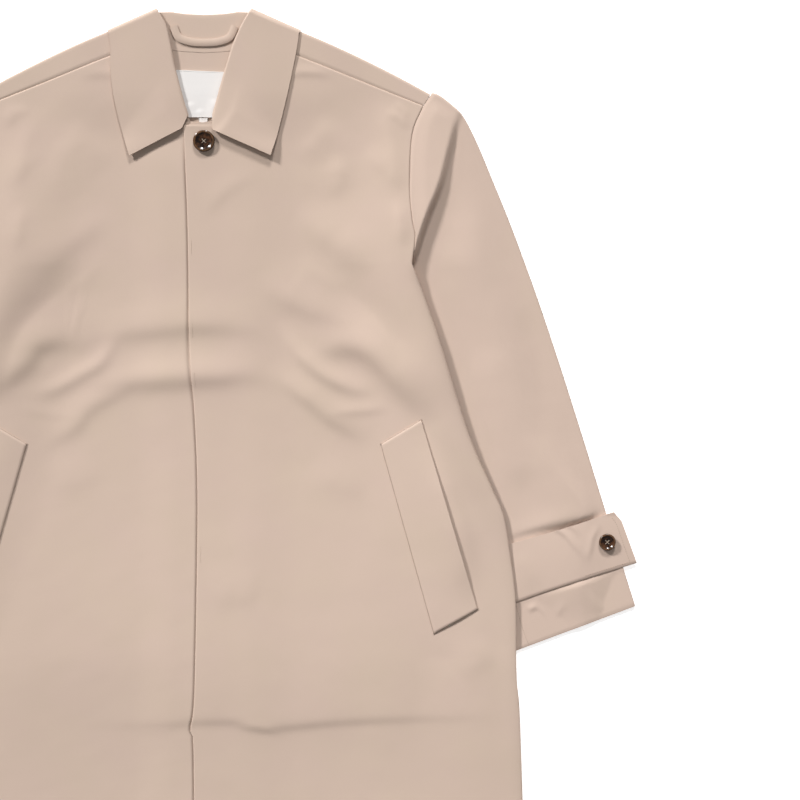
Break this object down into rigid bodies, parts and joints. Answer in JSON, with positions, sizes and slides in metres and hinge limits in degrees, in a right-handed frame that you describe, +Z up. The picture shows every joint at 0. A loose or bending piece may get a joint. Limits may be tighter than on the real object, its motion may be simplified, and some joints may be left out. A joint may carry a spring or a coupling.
{
  "type": "tent coat",
  "caption": "Knee-length A-line coat laid flat on its back: turned-down collar, fly front, set-in sleeves, slanted pocket welts and buttoned cuff tabs",
  "frame": {"origin": "on the surface that the coat lies on, under the middle of its width and length", "axes": "+X to the coat's own left side, +Y from the hem to the collar, +Z up from the surface"},
  "size_m": [0.9526, 1.0081, 0.0147],
  "materials": {
    "cloth": "matte tightly woven cotton in beige with a pink cast",
    "label": "white woven label, bare",
    "button": "polished dark brown horn effect"
  },
  "bodies": {
    "root": {"back_panel": "cloth", "front_left": "cloth", "front_right": "cloth", "sleeve_left": "cloth", "sleeve_right": "cloth", "collar": "cloth", "welt_left": "cloth", "welt_right": "cloth", "cuff_tab_left": "cloth", "cuff_tab_right": "cloth", "hang_loop": "cloth", "label_main": "label", "label_size": "label", "button_neck": "button", "button_cuff_left": "button", "button_cuff_right": "button"}
  },
  "joints": []
}
